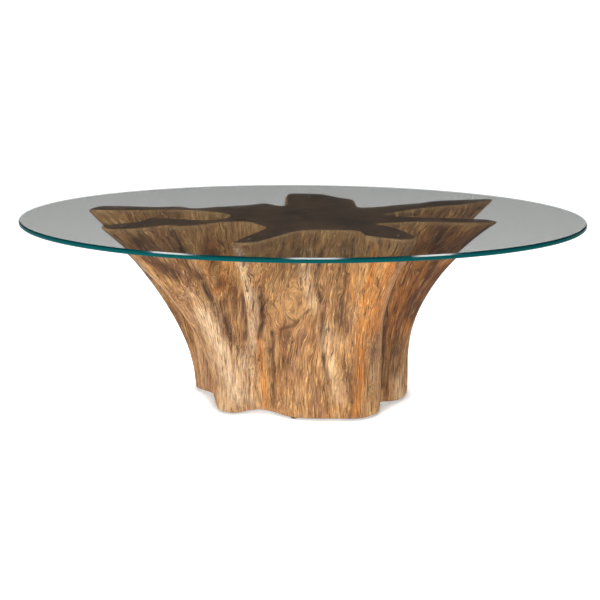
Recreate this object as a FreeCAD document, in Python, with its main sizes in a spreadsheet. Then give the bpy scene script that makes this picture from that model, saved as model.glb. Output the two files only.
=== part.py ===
"""Rustic dining table: an oval glass top resting on one flared tree root.

The root stands foot down on levelling glides. Seven buttress arms spread from its foot to the sawn crown,
and a clear bumper on each arm carries the glass. Millimetres, +Z up, +X along the length of the glass,
origin on the floor under the middle of the glass.
"""
import FreeCAD, Part

import os
import re
import Sketcher

# Driving dimensions: alias, value in millimetres or a formula of other cells, what it is
SIZES = [
    ("table_height", "762", "floor to the top of the glass"),
    ("glass_length", "2134", "long axis of the oval"),
    ("glass_depth", "1219", "short axis of the oval"),
    ("glass_thickness", "19", "plate thickness"),
    ("edge_bevel", "5", "bevel ground on both rims of the plate, polished round"),
    ("bumper_height", "3", "clear bumper between wood and glass"),
    ("bumper_radius", "6", "clear bumper"),
    ("foot_gap", "7", "floor to the underside of the root with the glides screwed in"),
    ("foot_length", "860", "root at the foot, along X"),
    ("foot_depth", "500", "root at the foot, along Y"),
    ("crown_length", "1600", "tip to tip of the arms, along X"),
    ("crown_depth", "870", "tip to tip of the arms, along Y"),
    ("root_height", "=table_height - glass_thickness - bumper_height - foot_gap", "foot to crown"),
    ("crown_height", "=foot_gap + root_height", "floor to the crown"),
    ("stem_radius", "4", "plain radius of the M8 stem"),
    ("stem_reach", "34", "stem above the pad's socket"),
    ("stem_head_radius", "6", "flange that the pad swivels on"),
    ("stem_head_height", "2", "thickness of that flange"),
    ("running_clearance", "0.05", "stem to insert and pad, on the radius"),
    ("pad_clearance", "0.3", "pad to wood, and the stem flange's end play"),
    ("pad_radius", "14", "nylon pad"),
    ("pad_height", "=foot_gap - pad_clearance", "floor to the pad's top"),
    ("pad_floor", "2", "nylon under the stem's flange"),
    ("socket_height", "=stem_head_height + pad_clearance", "room for the stem's flange"),
    ("head_floor", "=pad_floor + pad_clearance / 2", "floor to the stem's flange"),
    ("stem_top", "=pad_floor + socket_height + stem_reach", "floor to the stem's upper end"),
    ("insert_radius", "6", "threaded sleeve let into the wood"),
    ("insert_length", "22", "threaded sleeve let into the wood"),
    ("pocket_spare", "6", "empty bore above the stem's end"),
]

# Foot outline, counter-clockwise seen from above, as shares of foot_length and foot_depth
FOOT_SHARES = [
    (0.477, 0.410), (0.436, 0.490), (0.378, 0.524), (0.314, 0.536), (0.262, 0.580), (0.221, 0.670),
    (0.151, 0.736), (0.064, 0.760), (-0.023, 0.744), (-0.087, 0.680), (-0.128, 0.596), (-0.180, 0.556),
    (-0.250, 0.566), (-0.331, 0.574), (-0.407, 0.546), (-0.471, 0.476), (-0.505, 0.390), (-0.507, 0.316),
    (-0.486, 0.274), (-0.448, 0.216), (-0.420, 0.176), (-0.401, 0.044), (-0.385, -0.090), (-0.367, -0.172),
    (-0.342, -0.218), (-0.300, -0.232), (-0.258, -0.206), (-0.221, -0.168), (-0.174, -0.150),
    (-0.130, -0.176), (-0.098, -0.234), (-0.058, -0.278), (-0.009, -0.318), (0.049, -0.320),
    (0.140, -0.316), (0.227, -0.314), (0.279, -0.300), (0.321, -0.248), (0.349, -0.184), (0.362, -0.100),
    (0.363, 0.020), (0.374, 0.054), (0.409, 0.060), (0.447, 0.094), (0.474, 0.156), (0.488, 0.240),
    (0.490, 0.330),
]

# Crown outline by arm, the same way round: shares of crown_length and crown_depth, and the foot point,
# counted along FOOT_SHARES, that the wood grows up from
CROWN_SHARES = {
    "right_back": [
        (0.475, 0.431, -0.4), (0.465, 0.453, -0.1), (0.354, 0.409, 0.7), (0.316, 0.383, 1.0),
        (0.289, 0.339, 1.4), (0.239, 0.308, 1.9), (0.201, 0.267, 2.5), (0.160, 0.244, 3.2),
    ],
    "back": [
        (0.131, 0.253, 3.9), (0.127, 0.401, 5.1), (0.099, 0.434, 5.7), (0.063, 0.492, 6.7),
        (0.045, 0.520, 7.1), (0.006, 0.534, 7.7), (-0.027, 0.534, 8.3), (-0.047, 0.518, 8.8),
        (-0.049, 0.391, 9.6), (-0.045, 0.305, 10.1),
    ],
    "left_back": [
        (-0.050, 0.258, 10.7), (-0.071, 0.273, 11.2), (-0.089, 0.305, 11.7), (-0.110, 0.302, 12.2),
        (-0.134, 0.266, 12.7), (-0.206, 0.226, 13.7), (-0.254, 0.189, 14.2), (-0.282, 0.195, 14.6),
        (-0.309, 0.225, 14.9), (-0.354, 0.208, 15.5), (-0.391, 0.214, 15.8), (-0.494, 0.224, 16.6),
        (-0.514, 0.190, 16.9), (-0.523, 0.143, 17.2), (-0.504, 0.123, 17.5), (-0.371, 0.132, 18.2),
        (-0.323, 0.145, 18.5), (-0.250, 0.130, 19.1), (-0.208, 0.097, 19.5), (-0.183, 0.067, 19.8),
    ],
    "left_front": [
        (-0.174, 0.031, 20.1), (-0.191, -0.020, 20.38), (-0.249, -0.045, 20.81),
        (-0.330, -0.008, 21.23), (-0.356, -0.008, 21.44), (-0.369, -0.037, 21.58),
        (-0.375, -0.085, 21.73), (-0.438, -0.141, 22.01), (-0.456, -0.160, 22.15),
        (-0.458, -0.195, 22.29), (-0.441, -0.232, 22.43), (-0.417, -0.245, 22.57), (-0.342, -0.205, 23),
        (-0.314, -0.157, 23.42), (-0.292, -0.168, 23.63), (-0.273, -0.179, 23.85),
        (-0.224, -0.144, 24.34), (-0.200, -0.102, 24.62), (-0.170, -0.080, 24.98),
        (-0.140, -0.073, 25.4),
    ],
    "front_left": [
        (-0.116, -0.079, 25.7), (-0.098, -0.130, 25.95), (-0.080, -0.163, 26.15),
        (-0.080, -0.205, 26.35), (-0.116, -0.337, 26.65), (-0.130, -0.403, 26.8),
        (-0.142, -0.437, 26.95), (-0.134, -0.455, 27.1), (-0.091, -0.447, 27.55),
        (-0.068, -0.405, 27.9), (-0.016, -0.282, 29.4), (0.004, -0.236, 30.4), (0.029, -0.218, 31.5),
        (0.071, -0.211, 32.8),
    ],
    "front_right": [
        (0.113, -0.215, 34.1), (0.134, -0.224, 34.7), (0.143, -0.271, 35.1), (0.156, -0.315, 35.4),
        (0.215, -0.361, 36.1), (0.238, -0.368, 36.4), (0.261, -0.357, 36.7), (0.268, -0.310, 37.3),
        (0.251, -0.246, 37.7), (0.230, -0.178, 38.2), (0.205, -0.124, 38.8),
    ],
    "right_front": [
        (0.178, -0.092, 39.5), (0.199, -0.078, 40.0), (0.279, -0.041, 41.0), (0.375, -0.060, 42.0),
        (0.451, -0.036, 43.0), (0.462, -0.014, 43.4), (0.445, 0.012, 43.7), (0.418, 0.033, 43.9),
        (0.281, 0.050, 44.5), (0.234, 0.057, 44.8), (0.200, 0.076, 45.1), (0.202, 0.106, 45.4),
        (0.228, 0.147, 45.6), (0.264, 0.193, 45.8), (0.351, 0.284, 46.2), (0.391, 0.306, 46.35),
        (0.440, 0.370, 46.5),
    ],
}

# Height shares of the outlines that the root is hewn between
LEVEL_SHARES = (0, 0.2, 0.38, 0.54, 0.68, 0.8, 0.91, 1)

# The outline moves from foot to crown with a power of the height share, so the arms flare late. Each stop is
# a point counted along FOOT_SHARES and its power; the left arms leave the foot sooner than the others.
FLARE_STOPS = [
    (0, 2.6), (2, 2.8), (14.5, 2.6), (16.5, 1.8), (21.5, 1.8), (22.3, 1.95), (23, 2.3), (24.5, 2.6),
    (26, 2.8), (38.5, 2.8), (41, 2.65), (45, 2.65), (47, 2.6),
]

# Levelling glides: place as shares of foot_length and foot_depth
GLIDE_SHARES = {
    "front": (-0.023, -0.262),
    "left": (-0.425, 0.330),
    "right": (0.410, 0.250),
    "back": (0.050, 0.660),
}

# Clear bumpers by arm: place as shares of crown_length and crown_depth
BUMPER_SHARES = {
    "right_back": (0.425, 0.405),
    "back": (0.010, 0.450),
    "left_back": (-0.460, 0.180),
    "left_front": (-0.410, -0.185),
    "front_left": (-0.105, -0.390),
    "front_right": (0.225, -0.310),
    "right_front": (0.410, -0.010),
}

# Closed profiles of the turned pieces: (radius, height) of each corner
PAD_PROFILE = [
    ("0", "0"),
    ("pad_radius", "0"),
    ("pad_radius", "pad_height"),
    ("stem_radius + running_clearance", "pad_height"),
    ("stem_radius + running_clearance", "pad_floor + socket_height"),
    ("stem_head_radius + running_clearance", "pad_floor + socket_height"),
    ("stem_head_radius + running_clearance", "pad_floor"),
    ("0", "pad_floor"),
]
STEM_PROFILE = [
    ("0", "head_floor"),
    ("stem_head_radius", "head_floor"),
    ("stem_head_radius", "head_floor + stem_head_height"),
    ("stem_radius", "head_floor + stem_head_height"),
    ("stem_radius", "stem_top"),
    ("0", "stem_top"),
]
INSERT_PROFILE = [
    ("stem_radius + running_clearance", "foot_gap"),
    ("insert_radius", "foot_gap"),
    ("insert_radius", "foot_gap + insert_length"),
    ("stem_radius + running_clearance", "foot_gap + insert_length"),
]
POCKET_PROFILE = [
    ("0", "foot_gap"),
    ("insert_radius", "foot_gap"),
    ("insert_radius", "stem_top + pocket_spare"),
    ("0", "stem_top + pocket_spare"),
]
BUMPER_PROFILE = [
    ("0", "crown_height"),
    ("bumper_radius", "crown_height"),
    ("bumper_radius", "crown_height + bumper_height"),
    ("0", "crown_height + bumper_height"),
]

doc = FreeCAD.newDocument("root_table")
sheet = doc.addObject("Spreadsheet::Sheet", "sizes")
for line, (alias, content, meaning) in enumerate(SIZES, start=1):
    sheet.set(f"A{line}", meaning)
    sheet.set(f"B{line}", content)
    sheet.setAlias(f"B{line}", alias)
doc.recompute()


def cells(formula):
    """The formula with each name in it pointed at its cell of the sheet."""
    return re.sub(r"[a-z_]+", lambda word: "sizes." + word.group(), formula)


def value(formula):
    """What a formula of cell names comes to, in millimetres."""
    return float(sheet.evalExpression(cells(formula)))


def bind(obj, **formulas):
    """Ties properties of an object to the sheet; a double underscore stands for the dot in a path."""
    for name, formula in formulas.items():
        obj.setExpression(name.replace("__", "."), cells(formula))


def plane(body, role):
    """An origin plane of a body, by its role."""
    return next(item for item in body.Origin.OriginFeatures if item.Role == role)


def hold(sketch, index, kind, formula):
    """Holds the start of a line at a formula's distance from an axis, or on that axis where it is 0."""
    if formula == "0":
        axis = -2 if kind == "DistanceX" else -1
        sketch.addConstraint(Sketcher.Constraint("PointOnObject", index, 1, axis))
    else:
        number = sketch.addConstraint(Sketcher.Constraint(kind, -1, 1, index, 1, value(formula)))
        sketch.setExpression(f"Constraints[{number}]", cells(formula))


def turned(name, profile):
    """A body turned about its own Z from a closed profile."""
    body = doc.addObject("PartDesign::Body", name)
    sketch = body.newObject("Sketcher::SketchObject", name + "_profile")
    sketch.AttachmentSupport = [(plane(body, "XZ_Plane"), "")]
    sketch.MapMode = "FlatFace"
    corners = [FreeCAD.Vector(value(radius), value(height), 0) for radius, height in profile]
    for start, end in zip(corners, corners[1:] + corners[:1]):
        sketch.addGeometry(Part.LineSegment(start, end), False)
    for index, (radius, height) in enumerate(profile):
        before = index - 1 if index else len(profile) - 1
        sketch.addConstraint(Sketcher.Constraint("Coincident", before, 2, index, 1))
        hold(sketch, index, "DistanceX", radius)
        hold(sketch, index, "DistanceY", height)
    turn = body.newObject("PartDesign::Revolution", name + "_turn")
    turn.Profile = sketch
    turn.ReferenceAxis = (sketch, ["V_Axis"])
    return body


def place(obj, length, depth, shares):
    """Stands a piece at shares of a length and a depth of the root."""
    bind(obj, Placement__Base__x=f"{length} * {shares[0]}", Placement__Base__y=f"{depth} * {shares[1]}")


def glass():
    """The oval plate, padded from an ellipse and polished round its edge."""
    body = doc.addObject("PartDesign::Body", "glass_top")
    sketch = body.newObject("Sketcher::SketchObject", "oval")
    sketch.AttachmentSupport = [(plane(body, "XY_Plane"), "")]
    sketch.MapMode = "FlatFace"
    centre = FreeCAD.Vector(0, 0, 0)
    sketch.addGeometry(Part.Ellipse(centre, value("glass_length / 2"), value("glass_depth / 2")), False)
    sketch.exposeInternalGeometry(0)
    sketch.addConstraint(Sketcher.Constraint("Coincident", 0, 3, -1, 1))
    sketch.addConstraint(Sketcher.Constraint("PointOnObject", 1, 1, -1))
    for axis, formula in enumerate(("glass_length", "glass_depth"), start=1):
        number = sketch.addConstraint(Sketcher.Constraint("Distance", axis, value(formula)))
        sketch.setExpression(f"Constraints[{number}]", cells(formula))
    plate = body.newObject("PartDesign::Pad", "plate")
    plate.Profile = sketch
    bind(plate, Length="glass_thickness")
    doc.recompute()
    edge = body.newObject("PartDesign::Chamfer", "polished_edge")
    edge.Base = (plate, [f"Edge{n}" for n, e in enumerate(plate.Shape.Edges, start=1) if e.isClosed()])
    bind(edge, Size="edge_bevel")
    bind(body, Placement__Base__z="table_height - glass_thickness")
    return body


def smooth(points):
    """A closed curve nearly through the points: each pole stands proud of its point by a sixth of the turn."""
    poles = []
    for index, point in enumerate(points):
        after = points[(index + 1) % len(points)]
        poles.append(point + (point * 2 - points[index - 1] - after) / 6)
    curve = Part.BSplineCurve()
    curve.buildFromPoles(poles[-1:] + poles[:-1], True, 3)
    return curve


def flare_power(station):
    """The power of the flare at a foot point, on a straight line between the stops beside it."""
    station = station % len(FOOT_SHARES)
    for (start, low), (end, high) in zip(FLARE_STOPS, FLARE_STOPS[1:]):
        if station <= end:
            return low + (high - low) * (station - start) / (end - start)


def root_outline(share):
    """The root's outline at a share of its height: each crown point, part of the way up from its foot point."""
    foot_points = [FreeCAD.Vector(x * value("foot_length"), y * value("foot_depth"), 0) for x, y in FOOT_SHARES]
    foot = smooth(foot_points)
    height = FreeCAD.Vector(0, 0, value("foot_gap") + value("root_height") * share)
    points = []
    for arm in CROWN_SHARES.values():
        for x, y, station in arm:
            low = foot.value(station / len(FOOT_SHARES) % 1)
            high = FreeCAD.Vector(x * value("crown_length"), y * value("crown_depth"), 0)
            points.append(low + (high - low) * share ** flare_power(station) + height)
    return points


def flat(*corners):
    """A flat face with these corners."""
    return Part.Face(Part.makePolygon(list(corners) + [corners[0]]))


def hewn(lower, upper):
    """The band between two outlines, in flat facets split along each gap's shorter diagonal."""
    facets = []
    for index in range(len(lower)):
        a, b = lower[index - 1], lower[index]
        c, d = upper[index], upper[index - 1]
        if a.distanceToPoint(c) < b.distanceToPoint(d):
            facets += [flat(a, b, c), flat(a, c, d)]
        else:
            facets += [flat(a, b, d), flat(b, c, d)]
    return facets


def root():
    """The root hewn between its outlines, with a pocket turned into its foot for each glide."""
    outlines = [root_outline(share) for share in LEVEL_SHARES]
    faces = [flat(*outlines[0]), flat(*outlines[-1])]
    for lower, upper in zip(outlines, outlines[1:]):
        faces += hewn(lower, upper)
    shell = Part.makeShell(faces)
    shell.sewShape()
    trunk = doc.addObject("Part::Feature", "trunk")
    trunk.Shape = Part.Solid(shell)
    pockets = doc.addObject("Part::Compound", "pockets")
    links = []
    for spot, shares in GLIDE_SHARES.items():
        pocket = turned(f"pocket_{spot}", POCKET_PROFILE)
        place(pocket, "foot_length", "foot_depth", shares)
        links.append(pocket)
    pockets.Links = links
    bored = doc.addObject("Part::Cut", "root_base")
    bored.Base = trunk
    bored.Tool = pockets
    return bored


def name_part(obj, name):
    """Gives a sub-part the label that names its file."""
    obj.Label = name
    PARTS.append(obj)


PARTS = []
name_part(glass(), "glass_top")
name_part(root(), "root_base")
for arm, shares in BUMPER_SHARES.items():
    bumper = turned(f"bumper_{arm}", BUMPER_PROFILE)
    place(bumper, "crown_length", "crown_depth", shares)
    name_part(bumper, f"bumper_{arm}")
for spot, shares in GLIDE_SHARES.items():
    for piece, profile in (("pad", PAD_PROFILE), ("stem", STEM_PROFILE), ("insert", INSERT_PROFILE)):
        turning = turned(f"{piece}_{spot}", profile)
        place(turning, "foot_length", "foot_depth", shares)
        name_part(turning, f"{piece}_{spot}")

doc.recompute()
failed = [obj.Name for obj in doc.Objects if "Invalid" in obj.State or "Error" in obj.State]
if failed:
    raise RuntimeError("not built: " + ", ".join(failed))
for obj in PARTS:
    if obj.Shape.isNull() or not obj.Shape.isValid():
        raise RuntimeError("no sound shape: " + obj.Label)

os.makedirs("parts", exist_ok=True)
for obj in PARTS:
    obj.Shape.exportStep(f"parts/{obj.Label}.step")
    print(f"{obj.Label}: {obj.Shape.Volume / 1000:.1f} cm3, {len(obj.Shape.Faces)} faces")
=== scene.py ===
# %% [markdown]
# # A tree-root dining table
#
# The real table is one barkless tree root, turned foot down and sawn level at its crown, with an oval
# of thick clear glass resting on its seven arms. The CAD model holds its sizes, its joints and its
# levelling glides. Blender dresses that model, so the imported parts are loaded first, and the new pieces
# take their places and levels from them. The box of the CAD model is kept, because nothing added here
# may grow past it.

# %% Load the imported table
import math

import bpy
import numpy as np
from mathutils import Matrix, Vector
from mathutils.geometry import delaunay_2d_cdt


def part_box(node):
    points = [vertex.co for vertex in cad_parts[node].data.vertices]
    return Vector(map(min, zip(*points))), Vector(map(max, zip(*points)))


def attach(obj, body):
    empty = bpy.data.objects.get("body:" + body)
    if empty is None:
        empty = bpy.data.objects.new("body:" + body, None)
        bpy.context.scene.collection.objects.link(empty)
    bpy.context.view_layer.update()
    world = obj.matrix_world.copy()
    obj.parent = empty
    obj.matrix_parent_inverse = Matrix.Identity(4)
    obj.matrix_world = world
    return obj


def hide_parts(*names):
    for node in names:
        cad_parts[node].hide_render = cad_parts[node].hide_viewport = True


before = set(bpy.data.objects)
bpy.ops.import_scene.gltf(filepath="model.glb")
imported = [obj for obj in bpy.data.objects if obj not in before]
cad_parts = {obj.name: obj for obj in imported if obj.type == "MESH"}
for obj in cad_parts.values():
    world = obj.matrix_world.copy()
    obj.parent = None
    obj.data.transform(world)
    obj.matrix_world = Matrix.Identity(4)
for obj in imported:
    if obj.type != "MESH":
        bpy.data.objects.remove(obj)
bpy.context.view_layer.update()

# %% [markdown]
# ## The camera
#
# The photograph was taken from in front, a little to the right of the middle and about 17 degrees above
# the table. A camera can be aimed by typing three angles, or by a place and a point to look at. The
# second is easier to read and to correct, so the angles are worked out from it. The lamps are aimed the
# same way.

# %% Place the camera
EYE = (0.1981, -4.4956, 1.7921)
TARGET = (-0.0036, 0.0, 0.4334)
FOCAL_LENGTH = 73.17  # millimetres


def add_object(name, data):
    """A new object of the scene that holds a camera, a lamp or a mesh."""
    made = bpy.data.objects.new(name, data)
    bpy.context.scene.collection.objects.link(made)
    return made


def aim(thing, spot, target):
    """Puts a camera or a lamp at a spot, facing a target, and returns how far apart they are."""
    way = Vector(target) - Vector(spot)
    thing.location = spot
    thing.rotation_euler = way.to_track_quat("-Z", "Y").to_euler()
    return way.length


lens = bpy.data.cameras.new("camera")
lens.lens = FOCAL_LENGTH
lens.sensor_width = 36.0
camera = add_object("camera", lens)
distance = aim(camera, EYE, TARGET)
bpy.context.scene.camera = camera
print(f"camera {distance:.2f} m from its target, lens {FOCAL_LENGTH} mm")

# %% [markdown]
# ## Helpers for materials
#
# A material is a small graph of nodes. One helper adds a node and wires its inputs in a single call,
# and another turns a screen colour into the linear numbers that the shaders work in.

# %% Write the material helpers
def node(tree, kind, inputs=None, **settings):
    """Adds a node; each input is a number, a colour or the output of another node."""
    item = tree.nodes.new("ShaderNode" + kind)
    for name, setting in settings.items():
        setattr(item, name, setting)
    for name, source in (inputs or {}).items():
        if isinstance(source, bpy.types.NodeSocket):
            tree.links.new(source, item.inputs[name])
        else:
            item.inputs[name].default_value = source
    return item


def screen(red, green, blue):
    """A screen colour of 0 to 255 as linear red, green, blue and alpha: ((c + 0.055) / 1.055) ** 2.4."""
    parts = np.array((red, green, blue)) / 255
    linear = np.where(parts > 0.04045, ((parts + 0.055) / 1.055) ** 2.4, parts / 12.92)
    return (*linear.tolist(), 1.0)


def material(name):
    """An empty material and its node tree."""
    made = bpy.data.materials.new(name)
    made.use_nodes = True
    made.node_tree.nodes.clear()
    return made, made.node_tree


def show(tree, shader):
    """Wires a shader node to the material's output."""
    node(tree, "OutputMaterial", {"Surface": shader.outputs[0]})


def blend(tree, amount, first, second, way="MIX"):
    """A colour that goes from the first to the second as the amount goes from 0 to 1. Inputs 6 and 7 and
    output 2 are the Mix node's sockets for colours."""
    inputs = {0: amount, 6: first, 7: second}
    return node(tree, "Mix", inputs, data_type="RGBA", blend_type=way).outputs[2]


def sums(tree, way, *values):
    """The output of a Math node, such as ADD, SUBTRACT, MULTIPLY or MAXIMUM."""
    return node(tree, "Math", dict(enumerate(values)), operation=way).outputs[0]


def ranged(tree, amount, low, high, start=0.0, end=1.0):
    """Eases a value from start to end while the amount goes from low to high."""
    inputs = {"Value": amount, "From Min": low, "From Max": high, "To Min": start, "To Max": end}
    return node(tree, "MapRange", inputs, interpolation_type="SMOOTHSTEP").outputs[0]


HELPERS = (node, screen, material, show, blend, sums, ranged)
print("helpers:", ", ".join(helper.__name__ for helper in HELPERS))

# %% [markdown]
# ## Floor, room and lamps
#
# A studio photograph of furniture has a floor that reads as pure white, yet keeps the soft shadow where
# the piece stands. More light would do it, but would also bleach the wood. Instead the floor is a pale
# matt grey that glows for rays that come from the camera, a mirror or through glass, and the glow fades
# in the last few centimetres before the wood, as the photograph's thin contact shadow does. Three soft
# boxes hang above the front of the table, because the polished rim of the real glass shows three
# streaks of light, and a key and a fill stand in front for the wood.

# %% Lay the floor
FLOOR_HALF = 30.0  # metres from the middle to each edge
SHADOW_REACH = 0.09  # metres that the contact shadow spreads over the floor
WHITE = screen(255, 255, 255)

mesh = bpy.data.meshes.new("floor")
corners = [(x * FLOOR_HALF, y * FLOOR_HALF, 0.0) for x, y in ((-1, -1), (1, -1), (1, 1), (-1, 1))]
mesh.from_pydata(corners, [], [(0, 1, 2, 3)])
floor = add_object("floor", mesh)

paint, tree = material("studio_floor")
path = node(tree, "LightPath")
seen = sums(tree, "MAXIMUM", path.outputs["Is Camera Ray"], path.outputs["Is Glossy Ray"])
seen = sums(tree, "MAXIMUM", seen, path.outputs["Is Transmission Ray"])
free = node(tree, "AmbientOcclusion", {"Distance": SHADOW_REACH}, samples=8).outputs["AO"]
beside = ranged(tree, free, 0.42, 0.86, 0.08, 0.76)  # fades towards the wood
below = ranged(tree, free, 0.0, 0.45, 0.55, 0.08)  # and comes back deep in the gap under the foot
open_air = sums(tree, "MAXIMUM", beside, below)
grey = node(tree, "BsdfDiffuse", {"Color": screen(231, 231, 231)})
glow = node(tree, "Emission", {"Strength": sums(tree, "MULTIPLY", seen, open_air)})
show(tree, node(tree, "AddShader", {0: grey.outputs[0], 1: glow.outputs[0]}))
mesh.materials.append(paint)
print(f"floor {2 * FLOOR_HALF:.0f} m wide, contact shadow {SHADOW_REACH * 1000:.0f} mm")

# %% Fill the room
room = bpy.data.worlds.new("studio_room")
room.use_nodes = True
tree = room.node_tree
tree.nodes.clear()
path = node(tree, "LightPath")
height = node(tree, "SeparateXYZ", {0: node(tree, "NewGeometry").outputs["Position"]}).outputs["Z"]
dim = ranged(tree, height, 0.0, 0.14, 1.0, 0.04)  # white at the horizon, dark above it
soft = node(tree, "Background", {"Color": WHITE, "Strength": 0.45})  # what lights the table
wall = node(tree, "Background", {"Color": WHITE, "Strength": dim})  # what glass and lacquer mirror
white = node(tree, "Background", {"Color": WHITE, "Strength": 1.0})  # what the camera sees
mirrored = sums(tree, "MINIMUM", path.outputs["Glossy Depth"], 1.0)
clear = sums(tree, "MAXIMUM", path.outputs["Is Camera Ray"], path.outputs["Is Transmission Ray"])
out = node(tree, "MixShader", {0: clear, 1: soft.outputs[0], 2: white.outputs[0]})
out = node(tree, "MixShader", {0: mirrored, 1: out.outputs[0], 2: wall.outputs[0]})
node(tree, "OutputWorld", {"Surface": out.outputs[0]})
bpy.context.scene.world = room
bpy.context.scene.view_settings.view_transform = "Standard"
print("room:", len(tree.nodes), "nodes")

# %% Hang the lamps
def soft_box(name, spot, target, width, height, power):
    """A soft box at a spot, aimed at a point; its width lies level. Sizes in metres, power in watts."""
    lamp = bpy.data.lights.new(name, "AREA")
    lamp.shape = "RECTANGLE"
    lamp.size = width
    lamp.size_y = height
    lamp.energy = power
    distance = aim(add_object(name, lamp), spot, target)
    print(f"{name}: {power} W, {distance:.1f} m away")


soft_box("streak_left", (-2.20, -1.17, 4.76), (-0.45, -0.55, 0.76), 0.55, 0.70, 21)
soft_box("streak_middle", (0.14, -1.65, 4.76), (0.04, -0.61, 0.76), 0.78, 0.70, 25)
soft_box("streak_right", (2.22, -1.27, 4.76), (0.45, -0.55, 0.76), 0.55, 0.70, 21)
soft_box("key", (-3.2, -3.9, 2.9), (0.0, 0.0, 0.40), 1.4, 1.6, 162)
soft_box("fill", (3.0, -4.1, 2.6), (0.0, 0.0, 0.40), 1.6, 1.4, 72)

# %% [markdown]
# ## The root's flowing surface
#
# The flank of the root is one surface of two parameters: how far round its outline, and how far up from
# the foot. It could be sculpted, but a formula keeps it on the CAD solid. The same two outlines are
# drawn through smooth curves here, the foot's and the crown's, and each point of the flank moves from
# one to the other, slowly near the floor and fast near the glass, so the arms flare late. How late
# differs from arm to arm.

# %% Draw the two outlines
FOOT_SIZE = (0.860, 0.500)
CROWN_SIZE = (1.600, 0.870)
FOOT_GAP, CROWN_HEIGHT = (round(corner[2], 4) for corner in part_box("root_base"))
FLARE_STOPS = [  # a point of FOOT, counted along, and the power of the flare there
    (0, 2.6), (2, 2.8), (14.5, 2.6), (16.5, 1.8), (21.5, 1.8), (22.3, 1.95), (23, 2.3), (24.5, 2.6),
    (26, 2.8), (38.5, 2.8), (41, 2.65), (45, 2.65), (47, 2.6),
]

FOOT = [  # shares of FOOT_SIZE, counter-clockwise seen from above
    (0.477, 0.41), (0.436, 0.49), (0.378, 0.524), (0.314, 0.536), (0.262, 0.58), (0.221, 0.67),
    (0.151, 0.736), (0.064, 0.76), (-0.023, 0.744), (-0.087, 0.68), (-0.128, 0.596), (-0.18, 0.556),
    (-0.25, 0.566), (-0.331, 0.574), (-0.407, 0.546), (-0.471, 0.476), (-0.505, 0.39), (-0.507, 0.316),
    (-0.486, 0.274), (-0.448, 0.216), (-0.42, 0.176), (-0.401, 0.044), (-0.385, -0.09), (-0.367, -0.172),
    (-0.342, -0.218), (-0.3, -0.232), (-0.258, -0.206), (-0.221, -0.168), (-0.174, -0.15), (-0.13, -0.176),
    (-0.098, -0.234), (-0.058, -0.278), (-0.009, -0.318), (0.049, -0.32), (0.14, -0.316), (0.227, -0.314),
    (0.279, -0.3), (0.321, -0.248), (0.349, -0.184), (0.362, -0.1), (0.363, 0.02), (0.374, 0.054),
    (0.409, 0.06), (0.447, 0.094), (0.474, 0.156), (0.488, 0.24), (0.49, 0.33),
]
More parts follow.
